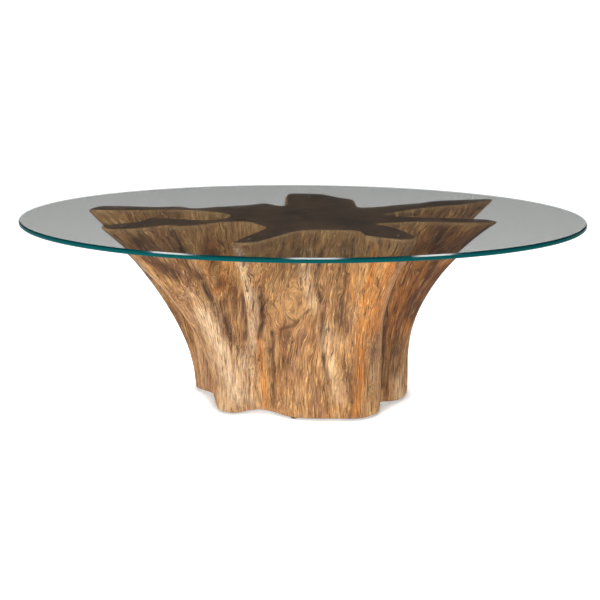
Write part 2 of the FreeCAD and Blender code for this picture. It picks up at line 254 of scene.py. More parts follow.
CROWN = {  # by arm: shares of CROWN_SIZE, and the point of FOOT, counted along, that the wood grows from
    "right_back": [
        (0.475, 0.431, -0.4), (0.465, 0.453, -0.1), (0.354, 0.409, 0.7), (0.316, 0.383, 1),
        (0.289, 0.339, 1.4), (0.239, 0.308, 1.9), (0.201, 0.267, 2.5), (0.16, 0.244, 3.2),
    ],
    "back": [
        (0.131, 0.253, 3.9), (0.127, 0.401, 5.1), (0.099, 0.434, 5.7), (0.063, 0.492, 6.7),
        (0.045, 0.52, 7.1), (0.006, 0.534, 7.7), (-0.027, 0.534, 8.3), (-0.047, 0.518, 8.8),
        (-0.049, 0.391, 9.6), (-0.045, 0.305, 10.1),
    ],
    "left_back": [
        (-0.05, 0.258, 10.7), (-0.071, 0.273, 11.2), (-0.089, 0.305, 11.7), (-0.11, 0.302, 12.2),
        (-0.134, 0.266, 12.7), (-0.206, 0.226, 13.7), (-0.254, 0.189, 14.2), (-0.282, 0.195, 14.6),
        (-0.309, 0.225, 14.9), (-0.354, 0.208, 15.5), (-0.391, 0.214, 15.8), (-0.494, 0.224, 16.6),
        (-0.514, 0.19, 16.9), (-0.523, 0.143, 17.2), (-0.504, 0.123, 17.5), (-0.371, 0.132, 18.2),
        (-0.323, 0.145, 18.5), (-0.25, 0.13, 19.1), (-0.208, 0.097, 19.5), (-0.183, 0.067, 19.8),
    ],
    "left_front": [
        (-0.174, 0.031, 20.1), (-0.191, -0.02, 20.38), (-0.249, -0.045, 20.81), (-0.33, -0.008, 21.23),
        (-0.356, -0.008, 21.44), (-0.369, -0.037, 21.58), (-0.375, -0.085, 21.73), (-0.438, -0.141, 22.01),
        (-0.456, -0.16, 22.15), (-0.458, -0.195, 22.29), (-0.441, -0.232, 22.43), (-0.417, -0.245, 22.57),
        (-0.342, -0.205, 23), (-0.314, -0.157, 23.42), (-0.292, -0.168, 23.63), (-0.273, -0.179, 23.85),
        (-0.224, -0.144, 24.34), (-0.2, -0.102, 24.62), (-0.17, -0.08, 24.98), (-0.14, -0.073, 25.4),
    ],
    "front_left": [
        (-0.116, -0.079, 25.7), (-0.098, -0.13, 25.95), (-0.08, -0.163, 26.15), (-0.08, -0.205, 26.35),
        (-0.116, -0.337, 26.65), (-0.13, -0.403, 26.8), (-0.142, -0.437, 26.95), (-0.134, -0.455, 27.1),
        (-0.091, -0.447, 27.55), (-0.068, -0.405, 27.9), (-0.016, -0.282, 29.4), (0.004, -0.236, 30.4),
        (0.029, -0.218, 31.5), (0.071, -0.211, 32.8),
    ],
    "front_right": [
        (0.113, -0.215, 34.1), (0.134, -0.224, 34.7), (0.143, -0.271, 35.1), (0.156, -0.315, 35.4),
        (0.215, -0.361, 36.1), (0.238, -0.368, 36.4), (0.261, -0.357, 36.7), (0.268, -0.31, 37.3),
        (0.251, -0.246, 37.7), (0.23, -0.178, 38.2), (0.205, -0.124, 38.8),
    ],
    "right_front": [
        (0.178, -0.092, 39.5), (0.199, -0.078, 40), (0.279, -0.041, 41), (0.375, -0.06, 42),
        (0.451, -0.036, 43), (0.462, -0.014, 43.4), (0.445, 0.012, 43.7), (0.418, 0.033, 43.9),
        (0.281, 0.05, 44.5), (0.234, 0.057, 44.8), (0.2, 0.076, 45.1), (0.202, 0.106, 45.4),
        (0.228, 0.147, 45.6), (0.264, 0.193, 45.8), (0.351, 0.284, 46.2), (0.391, 0.306, 46.35),
        (0.44, 0.37, 46.5),
    ],
}


def smooth_curve(points, places):
    """A closed curve at places counted along its points: the uniform cubic B-spline whose poles each stand
    proud of their point by a sixth of the turn there."""
    before, after = np.roll(points, 1, axis=0), np.roll(points, -1, axis=0)
    poles = points + (2 * points - before - after) / 6
    start = np.floor(places).astype(int)
    t = (places - start)[..., None]
    weights = ((1 - t) ** 3, 3 * t**3 - 6 * t**2 + 4, -3 * t**3 + 3 * t**2 + 3 * t + 1, t**3)
    return sum(weight * poles[(start + step - 1) % len(points)] for step, weight in enumerate(weights)) / 6


crown_rows = np.array([row for arm in CROWN.values() for row in arm])
crown_points = crown_rows[:, :2] * CROWN_SIZE
stations = crown_rows[:, 2] % len(FOOT)
foot_points = smooth_curve(np.array(FOOT) * FOOT_SIZE, stations)
powers = np.interp(stations, *np.array(FLARE_STOPS).T)
print(f"{len(FOOT)} foot points, {len(crown_points)} crown points on {len(CROWN)} arms")

# %% Work out the flank
def flank(row, share):
    """Points of the flank at a row of the crown's outline and a share of the height: the foot's point,
    plus the way to the crown's point times the share to the power of the flare there."""
    low = smooth_curve(foot_points, row)
    high = smooth_curve(crown_points, row)
    power = np.interp(row, np.arange(len(powers)), powers, period=len(powers))
    level = low + (high - low) * (share**power)[..., None]
    height = FOOT_GAP + (CROWN_HEIGHT - FOOT_GAP) * share
    return np.concatenate([level, height[..., None]], axis=-1)


def lengths(points, axis):
    """Distance walked along an axis of a grid of points, from 0."""
    steps = np.linalg.norm(np.diff(points, axis=axis), axis=-1)
    start = np.zeros_like(steps.take([0], axis=axis))
    return np.concatenate([start, np.cumsum(steps, axis=axis)], axis=axis)


COLUMNS = 640
LEVELS = 120
SPREAD = ((0.1, 0.8), (0.6, 0.8), (0.98, 0.6))  # columns are even by a mean of (share, weight) outlines
dense = np.linspace(0, len(crown_points), 6001)


def outline(share):
    """The root's outline at one share of its height, as many close points."""
    return flank(dense, np.full(dense.shape, share))


walk = sum(weight * lengths(outline(share), 0) for share, weight in SPREAD)
rows = np.interp(np.arange(COLUMNS) * walk[-1] / COLUMNS, walk, dense)
shares = np.linspace(0, 1, LEVELS)
ROW, SHARE = np.meshgrid(rows, shares)
skin = flank(ROW, SHARE)
print(f"flank grid {skin.shape[0]} x {skin.shape[1]}")

# %% [markdown]
# ## Grain, knots and cracks
#
# Under its bark a root is a bundle of long fibres, so its ripples, cracks and colours all run along the
# growth and bend round knots. Two numbers follow the growth at every point: the distance round the root
# at mid height, and the distance up the flank. The ripples and the wood material both read them, so the
# pattern flows into each arm by itself. The first is wrapped on a circle, which hides the place where
# it starts again.

# %% Measure along and across the grain
MID_SHARE = 0.55
STEPS_BETWEEN = 24  # points from one stop of a drawn line to the next
round_walk = lengths(outline(MID_SHARE), 0)
GIRTH = float(round_walk[-1])
across = np.interp(ROW, dense, round_walk)
along = lengths(skin, 0)
print(f"girth at mid height {GIRTH:.2f} m, flank up to {along.max():.2f} m long")


def trail(stops):
    """Points on the flank along a line drawn through (row, share) stops, a few millimetres apart."""
    stops = np.array(stops, dtype=float)
    steps = np.linspace(0, len(stops) - 1, STEPS_BETWEEN * (len(stops) - 1) + 1)
    row = np.interp(steps, np.arange(len(stops)), stops[:, 0])
    share = np.interp(steps, np.arange(len(stops)), stops[:, 1])
    return flank(row, share)


def near(stops, reach):
    """A field of the flank: exp(-(gap / reach) ** 2), where the gap is the distance to a drawn line."""
    squared = np.full(skin.shape[:-1], np.inf)
    for point in trail(stops):
        squared = np.minimum(squared, ((skin - point) ** 2).sum(axis=-1))
    return np.exp(-squared / reach**2)


def ripples(seed, waves, fewest, most, drift):
    """Sum of cosines round the girth, each with a whole number of waves from fewest to most, that drifts
    sideways up the flank; its spread is about 1."""
    random = np.random.default_rng(seed)
    counts = random.integers(fewest, most + 1, waves)
    climbs = random.normal(0, drift, waves)
    starts = random.uniform(0, 2 * np.pi, waves)
    turn = 2 * np.pi * across / GIRTH
    parts = zip(counts, climbs, starts)
    total = sum(np.cos(count * turn + climb * along + start) for count, climb, start in parts)
    return total / math.sqrt(waves / 2)


# %% Turn the grain round the knots
KNOTS = [  # row, share, reach in metres
    (69.6, 0.63, 0.056), (54.4, 0.79, 0.030), (40.0, 0.55, 0.045), (22.0, 0.50, 0.050), (5.0, 0.62, 0.045),
    (28.0, 0.72, 0.035), (13.0, 0.40, 0.030), (94.0, 0.70, 0.035),
]
KNOT_SHAPE = (1, 1, 0.72)  # distances count for less upwards, so a knot is taller than wide
wobble = 1 + 0.22 * ripples(seed=21, waves=16, fewest=20, most=70, drift=34.0)


def knot_distance(row, share):
    """Distance of every point of the flank from a knot's middle, with a wobble."""
    centre = flank(np.array(row), np.array(share))
    return np.sqrt((((skin - centre) * KNOT_SHAPE) ** 2).sum(axis=-1)) * wobble


bent_across = across.copy()
bent_along = along.copy()
knot_mask = np.zeros_like(across)
for row, share, reach in KNOTS:
    place = np.interp(row, dense, round_walk)
    gap = (across - place + GIRTH / 2) % GIRTH - GIRTH / 2
    distance = knot_distance(row, share)
    push = np.exp(-((distance / (1.7 * reach)) ** 2))  # 1 at the knot, and the grain near it moves aside
    inside = np.clip(0.85 - distance / reach, 0, 1)  # above 0 in the knot, which gets rings instead
    bent_across += 0.55 * reach * np.tanh(-gap / (0.35 * reach)) * push * (1 - inside)
    bent_across = bent_across * (1 - inside) + (place + distance * 0.9) * inside
    bent_along = bent_along * (1 - inside) + np.interp(share, shares, along[:, 0]) * inside
    knot_mask = np.maximum(knot_mask, np.exp(-((distance / (0.8 * reach)) ** 2)))
print(f"{len(KNOTS)} knots turn the grain")

# %% [markdown]
# ## Relief
#
# The ripples and cracks are real geometry, because they show on the outline and in the mesh itself.
# Each point moves along the surface's normal by a few millimetres. Broad flutes come from sums of
# cosines. The cracks that the photograph shows, and four more on the sides that it hides, are drawn
# as lines on the flank and cut as bell-shaped grooves.

# %% Carve the flank
CRACKS = [  # stops of (row, share), reach and depth in metres
    ([(67.0, 0.71), (67.3, 0.64), (67.0, 0.58), (67.4, 0.52), (66.7, 0.43)], 0.0042, 0.0040),
    ([(65.8, 0.77), (65.2, 0.72), (64.7, 0.66), (63.8, 0.60)], 0.0036, 0.0030),
    ([(67.8, 0.45), (67.6, 0.33), (67.9, 0.20), (67.7, 0.04)], 0.0100, 0.0030),
    ([(68.4, 0.50), (69.2, 0.505), (70.0, 0.54), (70.5, 0.60)], 0.0040, 0.0030),
    ([(70.9, 0.86), (70.8, 0.80), (71.0, 0.73)], 0.0036, 0.0030),
    ([(71.5, 0.84), (71.5, 0.78), (71.4, 0.72)], 0.0034, 0.0030),
    ([(51.3, 0.88), (52.2, 0.76), (52.8, 0.68), (53.6, 0.60)], 0.0060, 0.0035),
    ([(77.2, 0.90), (77.5, 0.87), (78.0, 0.85)], 0.0040, 0.0030),
    ([(31.0, 0.85), (32.0, 0.60), (32.5, 0.45)], 0.0050, 0.0040),
    ([(19.0, 0.80), (19.3, 0.60), (19.0, 0.42)], 0.0050, 0.0040),
    ([(8.0, 0.75), (8.3, 0.50), (8.2, 0.35)], 0.0050, 0.0040),
    ([(92.0, 0.72), (92.6, 0.52), (92.4, 0.36)], 0.0045, 0.0035),
]
FLUTE_HEIGHT = 0.0022
RIPPLE_HEIGHT = 0.0008
KNOT_HEIGHT = 0.0014
relief = FLUTE_HEIGHT * ripples(seed=11, waves=26, fewest=14, most=52, drift=4.0)
relief = relief + RIPPLE_HEIGHT * ripples(seed=12, waves=30, fewest=60, most=120, drift=9.0)
ragged = 0.5 + 0.5 * np.tanh(1.6 * ripples(seed=13, waves=24, fewest=20, most=90, drift=60.0))  # 0 to 1
crack_mask = np.zeros_like(relief)
for stops, reach, depth in CRACKS:
    groove = near(stops, reach) * ragged
    relief -= depth * groove
    crack_mask = np.maximum(crack_mask, groove)
for row, share, reach in KNOTS:
    out = knot_distance(row, share) / reach
    relief += KNOT_HEIGHT * np.cos(np.clip(out, 0, 1.6) * np.pi * 1.5) * np.exp(-(out**2))
rise = np.minimum(SHARE / 0.04, (1 - SHARE) / 0.05).clip(0, 1)  # no relief at either cut
to_side = np.roll(skin, -1, axis=1) - np.roll(skin, 1, axis=1)
normal = np.cross(to_side, np.gradient(skin, axis=0))
normal /= np.linalg.norm(normal, axis=-1, keepdims=True)
carved = skin + normal * (relief * rise)[..., None]
carved[..., 2] = carved[..., 2].clip(FOOT_GAP, CROWN_HEIGHT)
print(f"relief from {relief.min() * 1000:.1f} to {relief.max() * 1000:.1f} mm")

# %% [markdown]
# ## The rounded rims
#
# The saw leaves a sharp corner, and a maker sands it round so that it doesn't splinter. At the crown
# the sanding is generous, and it shows in the photograph as a pale lip. A Bevel modifier could round
# it, but rows that step in and up along a quarter circle follow the outline exactly and cost almost
# nothing.

# %% Round the foot and the crown
FOOT_RADIUS = 0.0045
LIP_RADIUS, LIP_CHANGE, LIP_WAVES = 0.0075, 0.0025, 9  # the crown's lip goes wide and narrow
BEND_SHARE = 0.5
STEP_LIMIT = 0.0007  # most that a radius changes from one point to the next


def inward(ring):
    """Level unit vectors pointing into a ring of points that runs counter-clockwise."""
    run = np.roll(ring, -1, axis=0) - np.roll(ring, 1, axis=0)
    side = np.stack([-run[:, 1], run[:, 0], np.zeros(len(run))], axis=1)
    return side / np.linalg.norm(side, axis=1, keepdims=True)


def left_turn(first, second):
    """Cross product of level vectors: above 0 where the second points to the left of the first."""
    return first[:, 0] * second[:, 1] - first[:, 1] * second[:, 0]


def rim(ring, radius, end, steps):
    """Rows from a ring to a level: in by radius * (1 - cos a) and up by the way to the level * sin a."""
    angle = np.linspace(0, np.pi / 2, steps + 1)[1:, None]
    start = ring[None]
    level = start[..., :2] + inward(ring)[None, :, :2] * (radius * (1 - np.cos(angle)))[..., None]
    height = start[..., 2] + (end - start[..., 2]) * np.sin(angle)
    return np.concatenate([level, height[..., None]], axis=-1)


def tightest(ring, widest, share):
    """A radius for each point of a ring: the widest, or a share of the bend's own radius where that is
    less, evened out along the ring so that neighbouring points never cross."""
    run = np.roll(ring, -1, axis=0)[:, :2] - ring[:, :2]
    back = np.roll(run, 1, axis=0)
    turn = np.arctan2(left_turn(back, run), (back * run).sum(axis=1))
    length = (np.linalg.norm(run, axis=1) + np.linalg.norm(back, axis=1)) / 2
    bend = np.minimum(widest, share * length / np.maximum(turn, 1e-4))
    for reach in (1, 2, 3):
        beside = np.minimum(np.roll(bend, reach), np.roll(bend, -reach))
        bend = np.minimum(bend, beside + STEP_LIMIT * reach)
    return bend


top_cut = np.searchsorted(shares, 0.988)
low_cut = np.searchsorted(shares, 0.008)
wide_lip = LIP_RADIUS + LIP_CHANGE * np.cos(2 * np.pi * LIP_WAVES * np.arange(COLUMNS) / COLUMNS)
lip_radius = tightest(carved[top_cut], wide_lip, BEND_SHARE)
foot_radius = tightest(carved[low_cut], FOOT_RADIUS, BEND_SHARE)
print(f"crown lip from {lip_radius.min() * 1000:.1f} to {lip_radius.max() * 1000:.1f} mm")
crown_rim = rim(carved[top_cut], lip_radius[None, :], CROWN_HEIGHT, steps=6)
foot_rim = rim(carved[low_cut], foot_radius[None, :], FOOT_GAP, steps=4)[::-1]
body_rows = carved[low_cut : top_cut + 1]
wall_grid = np.concatenate([foot_rim, body_rows, crown_rim])
print(f"wall grid {wall_grid.shape[0]} x {wall_grid.shape[1]}")

# %% [markdown]
# ## From arrays to meshes
#
# A mesh is a list of points, a list of faces and a few numbers stored on each point. Building one face
# at a time is slow in Python, so whole arrays are handed over with foreach_set. A grid that closes on
# itself gives its faces from its index numbers alone.

# %% Write the mesh helpers
def grid_faces(rows, columns):
    """Four-cornered faces of a grid whose columns close on themselves, facing out when rows climb."""
    corner = np.arange((rows - 1) * columns).reshape(rows - 1, columns)
    beside = np.roll(corner, -1, axis=1)
    return np.stack([corner, beside, beside + columns, corner + columns], axis=-1).reshape(-1, 4)


def build(name, points, face_groups, materials):
    """An object from an array of points and groups of faces; each group has a material slot of its own."""
    mesh = bpy.data.meshes.new(name)
    corners = np.concatenate([group.ravel() for group in face_groups])
    sizes = np.concatenate([np.full(len(group), group.shape[1]) for group in face_groups])
    slots = np.concatenate([np.full(len(group), slot) for slot, group in enumerate(face_groups)])
    mesh.vertices.add(len(points))
    mesh.vertices.foreach_set("co", np.ascontiguousarray(points, dtype=np.float32).ravel())
    mesh.loops.add(len(corners))
    mesh.loops.foreach_set("vertex_index", corners.astype(np.int32))
    mesh.polygons.add(len(sizes))
    starts = np.cumsum(sizes) - sizes
    mesh.polygons.foreach_set("loop_start", starts.astype(np.int32))
    mesh.polygons.foreach_set("material_index", slots.astype(np.int32))
    mesh.polygons.foreach_set("use_smooth", np.ones(len(sizes), dtype=bool))
    mesh.update(calc_edges=True)
    mesh.validate()
    for finish in materials:
        mesh.materials.append(finish)
    return add_object(name, mesh)


def keep(piece, name, values):
    """Stores an array on the points of a piece: one number each, or three as a vector."""
    kind = "FLOAT" if values.ndim == 1 else "FLOAT_VECTOR"
    field = piece.data.attributes.new(name, kind, "POINT")
    field.data.foreach_set("value" if kind == "FLOAT" else "vector", values.astype(np.float32).ravel())


print("a 3 x 4 grid has", len(grid_faces(3, 4)), "faces")

# %% [markdown]
# ## The sawn crown and the underside
#
# The crown is one level saw cut through seven arms, a shape with deep bays that no grid of rows and
# columns fits. A flat face with 640 corners would do for a still picture, but it can't carry a wavy
# surface. So the outline is filled with evenly spread points, and a Delaunay triangulation joins them
# without crossing the outline. The same step closes the underside and leaves its four round pockets
# open for the glides.

# %% Fill an outline with triangles
def within(points, ring):
    """True for each level point inside a ring: a ray to the right crosses it an odd number of times."""
    a, b = ring, np.roll(ring, -1, axis=0)
    x, y = points[:, :1], points[:, 1:]
    spans = (a[:, 1] > y) != (b[:, 1] > y)
    climb = np.where(a[:, 1] == b[:, 1], 1, b[:, 1] - a[:, 1])
    cross = a[:, 0] + (y - a[:, 1]) * (b[:, 0] - a[:, 0]) / climb
    return (spans & (x < cross)).sum(axis=1) % 2 == 1


def edge_distance(points, ring):
    """Distance from each level point to the nearest side of a ring."""
    a, b = ring[None], np.roll(ring, -1, axis=0)[None]
    p = points[:, None]
    share = (((p - a) * (b - a)).sum(-1) / ((b - a) ** 2).sum(-1)).clip(0, 1)
    return np.linalg.norm(p - a - share[..., None] * (b - a), axis=-1).min(axis=1)


def fill(ring, holes, pitch, seed):
    """Inner points spread over a ring and outside its holes, about a pitch apart, and the triangles that
    join them all. The points are numbered ring first, then each hole, then the inner ones."""
    random = np.random.default_rng(seed)
    low, high = ring.min(axis=0), ring.max(axis=0)
    x, y = np.meshgrid(np.arange(low[0], high[0], pitch), np.arange(low[1], high[1], pitch * 0.87))
    x = x + (np.arange(x.shape[0]) % 2)[:, None] * pitch / 2  # every other row is shifted
    spread = np.stack([x.ravel(), y.ravel()], axis=1)
    spread = spread + random.uniform(-0.12, 0.12, spread.shape) * pitch
    spread = spread[within(spread, ring)]
    spread = spread[edge_distance(spread, ring) > 0.55 * pitch]  # none close to the ring
    for hole in holes:
        middle = hole.mean(axis=0)
        reach = np.linalg.norm(hole[0] - middle)
        spread = spread[np.linalg.norm(spread - middle, axis=1) > reach + 0.4 * pitch]
    loops = [ring] + holes
    edges = []
    start = 0
    for loop in loops:
        index = start + np.arange(len(loop))
        edges += np.stack([index, np.roll(index, -1)], axis=1).tolist()
        start += len(loop)
    everything = np.concatenate(loops + [spread])
    corners = [Vector(point) for point in everything.tolist()]
    _, _, faces, sources, _, _ = delaunay_2d_cdt(corners, edges, [], 1, 1e-7)
    triangles = np.array([ids[0] for ids in sources])[np.array(faces)]
    centres = everything[triangles].mean(axis=1)
    kept = np.ones(len(triangles), dtype=bool)
    for hole in holes:
        kept &= ~within(centres, hole)
    kept &= within(centres, ring)
    triangles = triangles[kept]
    one, two, three = (everything[triangles[:, corner]] for corner in range(3))
    flipped = left_turn(two - one, three - one) < 0
    triangles[flipped] = triangles[flipped][:, ::-1]
    return spread, triangles


crown_ring = wall_grid[-1, :, :2]
crown_inner, crown_triangles = fill(crown_ring, [], pitch=0.011, seed=3)
print(f"crown: {len(crown_inner)} inner points, {len(crown_triangles)} triangles")

# %% Close the underside round the glide pockets
def middle_of(name):
    """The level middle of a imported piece."""
    low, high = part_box(name)
    return (low[0] + high[0]) / 2, (low[1] + high[1]) / 2


GLIDES = {spot: middle_of(f"stem_{spot}") for spot in ("front", "left", "right", "back")}
POCKET_RADIUS = 0.0061
POCKET_ROOF = 0.0463
POCKET_MIDDLE = 0.0001  # radius of the small ring round the middle of the roof
SIDES = 24

turns = 2 * np.pi * np.arange(SIDES) / SIDES
circle = np.stack([np.cos(turns), np.sin(turns)], axis=1)
foot_ring = wall_grid[0, :, :2]
holes = [np.array(place) + POCKET_RADIUS * circle for place in GLIDES.values()]
foot_inner, foot_triangles = fill(foot_ring, holes, pitch=0.02, seed=4)
print(f"underside: {len(foot_triangles)} triangles round {len(holes)} pockets")

# %% [markdown]
# ## One closed skin
#
# The wall, the crown, the underside and the pockets share their rims, so the root is one closed mesh.
# The crown isn't quite flat: a chain saw leaves shallow waves, which only dip below the level that the
# bumpers stand on.

# %% Join the parts of the root
def level_points(points, height):
    """Level points lifted to a height."""
    return np.concatenate([points, np.full((len(points), 1), height)], axis=1)


SAW_WAVE = 0.0004  # a quarter of the deepest dip
wall_count = wall_grid.shape[0] * COLUMNS
crown_depth = edge_distance(crown_inner, crown_ring)
x, y = crown_inner.T
waves = np.cos(x * 31 + y * 9) + np.cos(y * 43 - x * 12)  # two crossing waves, 195 and 141 mm long
crown_level = level_points(crown_inner, CROWN_HEIGHT)
crown_level[:, 2] += SAW_WAVE * (waves - 2) * np.clip(crown_depth / 0.02, 0, 1)
crown_index = wall_count - COLUMNS + np.arange(COLUMNS + len(crown_inner))

points = [wall_grid.reshape(-1, 3), crown_level]
count = wall_count + len(crown_inner)
hole_index = []
pocket_faces = []
roof_faces = []
for place, hole in zip(GLIDES.values(), holes):
    small = np.array(place) + POCKET_MIDDLE * circle
    middle = np.array([[hole[:, 0].mean(), hole[:, 1].mean()]])
    points.append(level_points(hole, FOOT_GAP))
    points += [level_points(ring, POCKET_ROOF) for ring in (hole, small, middle)]
    hole_index.append(count + np.arange(SIDES))
    pocket_faces.append(count + grid_faces(3, SIDES)[:, ::-1])
    roof = count + 2 * SIDES + np.arange(SIDES)
    count += 3 * SIDES
    roof_faces.append(np.stack([np.roll(roof, -1), roof, np.full(SIDES, count)], axis=1))
    count += 1
foot_index = np.concatenate([np.arange(COLUMNS)] + hole_index + [count + np.arange(len(foot_inner))])
points.append(level_points(foot_inner, FOOT_GAP))
points = np.concatenate(points)
foot_faces = foot_index[foot_triangles][:, ::-1]
crown_faces = crown_index[crown_triangles]
wall_faces = grid_faces(wall_grid.shape[0], COLUMNS)
print(f"root: {len(points)} points")

# %% [markdown]
# ## Where the wood is pale, dark or amber, and where shade is painted
#
# No two sides of a root have the same colour. Sapwood is pale cream, damp left grey-black stains beside
# the cracks, and resin glows amber in the valleys. The dark bands are partly those stains and partly
# painted shade, in the valleys between the arms, beside arm edges and on the shaded arm at the right.
# A texture alone would spread these evenly. Here each is drawn as a few soft bands that follow the
# growth, read off the photograph on the front and made up in the same manner on the sides that it
# hides. The bands are stored on the mesh, and the material mixes by them.

# %% Draw the bands of colour
BANDS = {  # stops of (row, share), reach in metres, strength
    "pale": [
        ([(50.6, 0.54), (52.4, 0.40), (55.0, 0.24), (57.5, 0.08)], 0.042, 1.0),
        ([(49.7, 0.66), (50.4, 0.57)], 0.030, 0.3),
        ([(49.6, 0.30), (51.5, 0.15), (53.0, 0.02)], 0.030, 0.6),
        ([(64.9, 0.95), (65.1, 0.80)], 0.026, 1.0),
        ([(65.3, 0.74), (65.7, 0.60), (65.6, 0.48), (65.4, 0.34)], 0.023, 0.8),
        ([(60.0, 0.30), (61.5, 0.06)], 0.044, 0.8),
        ([(62.5, 0.30), (62.8, 0.10)], 0.030, 0.6),
        ([(70.1, 0.87), (70.3, 0.78), (71.0, 0.62)], 0.026, 0.45),
        ([(71.6, 0.50), (71.9, 0.30), (72.4, 0.12)], 0.026, 0.45),
        ([(87.2, 0.10), (87.8, 0.01)], 0.032, 0.7),
        ([(3.0, 0.75), (3.5, 0.40), (4.0, 0.10)], 0.045, 0.8),
        ([(12.5, 0.80), (12.0, 0.50), (12.0, 0.20)], 0.040, 0.8),
        ([(24.0, 0.85), (25.0, 0.50), (26.0, 0.15)], 0.045, 0.8),
        ([(34.0, 0.30), (34.0, 0.05)], 0.030, 0.4),
        ([(37.5, 0.85), (37.0, 0.55), (36.0, 0.25)], 0.040, 0.7),
        ([(98.0, 0.70), (98.0, 0.40)], 0.035, 0.4),
    ],
    # stains, and painted shade in the valleys between the arms, beside arm edges and on the shaded arm at
    # the right
    "stain_and_shade": [
        ([(51.7, 0.96), (51.8, 0.81), (52.7, 0.72), (53.3, 0.64), (54.3, 0.53), (56.0, 0.42)], 0.026, 1.0),
        ([(56.0, 0.42), (58.5, 0.33)], 0.020, 0.6),
        ([(49.3, 0.94), (49.3, 0.84), (49.8, 0.76)], 0.026, 0.9),
        ([(58.4, 0.64), (59.0, 0.54), (60.4, 0.42)], 0.018, 0.9),
        ([(54.0, 0.86), (54.3, 0.71)], 0.032, 0.95),
        ([(56.2, 0.72), (57.0, 0.56)], 0.026, 0.6),
        ([(66.6, 0.73), (66.9, 0.60), (67.1, 0.50), (66.6, 0.42)], 0.012, 1.0),
        ([(67.8, 0.40), (68.0, 0.25), (68.2, 0.05)], 0.015, 0.7),
        ([(68.6, 0.46), (69.4, 0.38), (69.3, 0.28)], 0.026, 0.5),
        ([(67.9, 0.86), (68.2, 0.76)], 0.022, 0.5),
        ([(69.3, 0.90), (69.5, 0.78)], 0.022, 0.5),
        ([(68.4, 0.47), (70.0, 0.51), (70.8, 0.60)], 0.007, 0.8),
        ([(70.9, 0.90), (70.9, 0.76), (71.3, 0.64)], 0.009, 1.0),
        ([(70.2, 0.88), (70.3, 0.78)], 0.006, 0.9),
        ([(71.4, 0.58), (71.5, 0.38), (71.8, 0.20)], 0.009, 0.8),
        ([(72.2, 0.92), (72.2, 0.70), (72.5, 0.50)], 0.034, 0.75),
        ([(73.2, 0.30), (74.0, 0.12)], 0.026, 0.5),
        ([(78.4, 0.40), (78.6, 0.15)], 0.020, 0.4),
        ([(84.6, 0.92), (84.7, 0.60), (84.6, 0.10)], 0.022, 0.95),
        ([(85.8, 0.95), (86.2, 0.72), (86.8, 0.50)], 0.060, 1.0),
        ([(85.9, 0.55), (86.4, 0.18)], 0.040, 0.8),
        ([(88.2, 0.95), (88.4, 0.72), (89.5, 0.50)], 0.065, 1.0),
        ([(91.0, 0.55), (92.0, 0.20)], 0.040, 0.7),
        ([(94.0, 0.95), (94.5, 0.80)], 0.060, 0.8),
        ([(8.2, 0.80), (8.2, 0.45)], 0.025, 0.7),
        ([(19.2, 0.80), (19.2, 0.40)], 0.028, 0.7),
        ([(31.2, 0.90), (31.2, 0.30)], 0.028, 0.6),
        ([(47.5, 0.95), (47.5, 0.80)], 0.025, 0.6),
    ],
    "amber": [
        ([(66.65, 0.42), (67.0, 0.31), (67.3, 0.15), (67.4, 0.02)], 0.011, 0.9),
        ([(75.4, 0.92), (75.5, 0.75), (75.3, 0.43), (75.5, 0.25), (75.2, 0.04)], 0.018, 1.0),
        ([(76.9, 0.88), (77.0, 0.70), (77.4, 0.50)], 0.040, 0.9),
        ([(72.8, 0.82), (73.4, 0.66)], 0.024, 0.5),
        ([(54.0, 0.86), (54.3, 0.70)], 0.036, 1.0),
        ([(86.9, 0.70), (87.2, 0.46)], 0.012, 0.9),
        ([(86.8, 0.95), (86.8, 0.70), (87.6, 0.50)], 0.055, 0.6),
        ([(85.7, 0.95), (86.0, 0.70), (86.3, 0.45)], 0.070, 0.9),
        ([(10.0, 0.60), (10.0, 0.20)], 0.018, 0.6),
        ([(28.5, 0.60), (28.5, 0.20)], 0.018, 0.6),
        ([(44.5, 0.50), (44.5, 0.20)], 0.018, 0.5),
    ],
}
tones = np.stack(
    [
        np.max([strength * near(stops, reach) for stops, reach, strength in bands], axis=0)
        for bands in BANDS.values()
    ],
    axis=-1,
)
print("bands:", {name: len(bands) for name, bands in BANDS.items()})

# %% Work out the fields of the root
turn = 2 * np.pi * bent_across / GIRTH
radius = GIRTH / (2 * np.pi)
grain = np.stack([radius * np.cos(turn), radius * np.sin(turn), bent_along], axis=-1)
# 1 at the crown's sanded lip; the weaker mark at the foot is partly sanding, partly a painted glow of
# light bounced up from the floor
edges = np.clip((SHARE - 0.975) / 0.02, 0, 1) + np.clip((0.02 - SHARE) / 0.02, 0, 1) * 0.6
marks = np.stack([crack_mask, knot_mask, edges], axis=-1)


def whole(field):
    """A field of the flank carried over to every point of the root: the rims repeat the rows they start
    from, and the points of the cuts get 0."""
    body = field[low_cut : top_cut + 1]
    lower = np.repeat(body[:1], len(foot_rim), axis=0)
    upper = np.repeat(body[-1:], len(crown_rim), axis=0)
    flat = np.concatenate([lower, body, upper]).reshape(-1, *field.shape[2:])
    rest = np.zeros((len(points) - len(flat), *field.shape[2:]))
    return np.concatenate([flat, rest])


marks_all = whole(marks)
marks_all[wall_count - len(crown_rim) * COLUMNS : wall_count, 2] = 1.0  # the crown's lip is sanded
depth = np.zeros(len(points))
depth[wall_count : wall_count + len(crown_inner)] = crown_depth
print(f"fields: grain, tones, marks and depth on {len(points)} points")

# %% [markdown]
# ## Grain as a node group
#
# Barkless wood shows the same thing at several sizes: long fibres, streaks and flecks. All are noise
# squeezed across the grain and stretched along it, with only the sizes and the cut-off changed. So the
# effect is one node group with named inputs, built once and placed wherever wood needs it.

